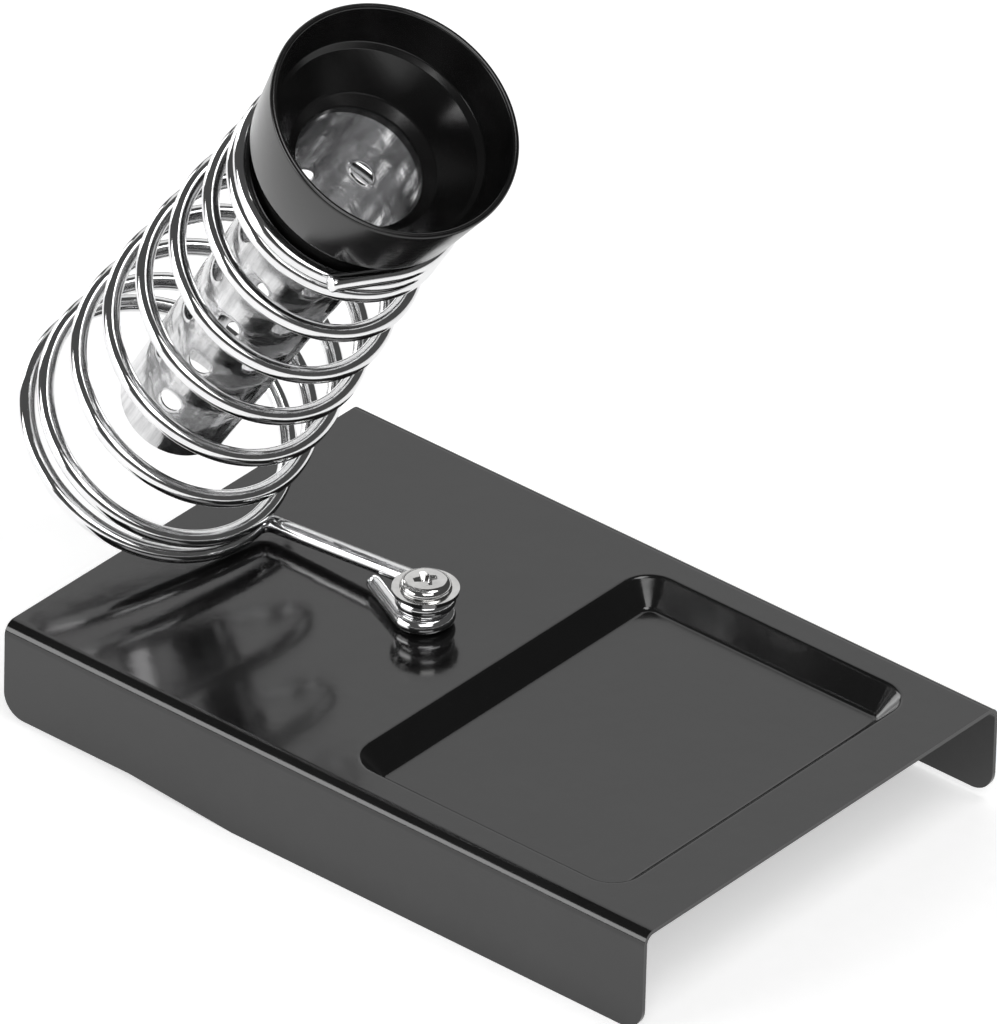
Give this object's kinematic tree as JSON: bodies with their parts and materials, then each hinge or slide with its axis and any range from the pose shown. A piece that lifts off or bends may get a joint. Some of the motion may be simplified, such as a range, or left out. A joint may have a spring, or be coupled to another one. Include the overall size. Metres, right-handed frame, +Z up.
{
  "type": "soldering iron stand",
  "caption": "Bench stand: folded steel base with a sponge tray, and a swivelling spring-wire holder with a flared mouth and perforated heat sleeve.",
  "frame": {"origin": "on the desk, midway along and across the footprint of the whole stand, the overhanging coil included", "axes": "+X along the base towards the tray end, +Y towards the back skirt, +Z up; the holder's mouth leans towards +X"},
  "size_m": [0.1893, 0.106, 0.1592],
  "materials": {
    "black_enamel": "glossy black stove enamel on pressed steel",
    "chrome_wire": "bright chrome-plated spring steel wire",
    "black_phenolic": "glossy black phenolic moulding",
    "tinplate": "bright rolled tinplate, faintly streaked",
    "nickel_fastener": "bright nickel-plated steel",
    "zinc_fastener": "dull zinc-plated steel"
  },
  "bodies": {
    "base": {"base_plate": "black_enamel", "clamp_screw": "nickel_fastener", "clamp_washer": "nickel_fastener", "under_washer": "zinc_fastener", "lock_washer": "zinc_fastener", "clamp_nut": "zinc_fastener"},
    "holder": {"wire_arm": "chrome_wire", "wire_coil": "chrome_wire", "funnel": "black_phenolic", "inner_tube": "tinplate"}
  },
  "joints": [
    {"name": "holder_swivel", "type": "hinge", "parent": "base", "child": "holder", "pos_m": [-0.0058, 0.00165, 0.0262], "axis": [0, 0, 1], "continuous": true}
  ]
}
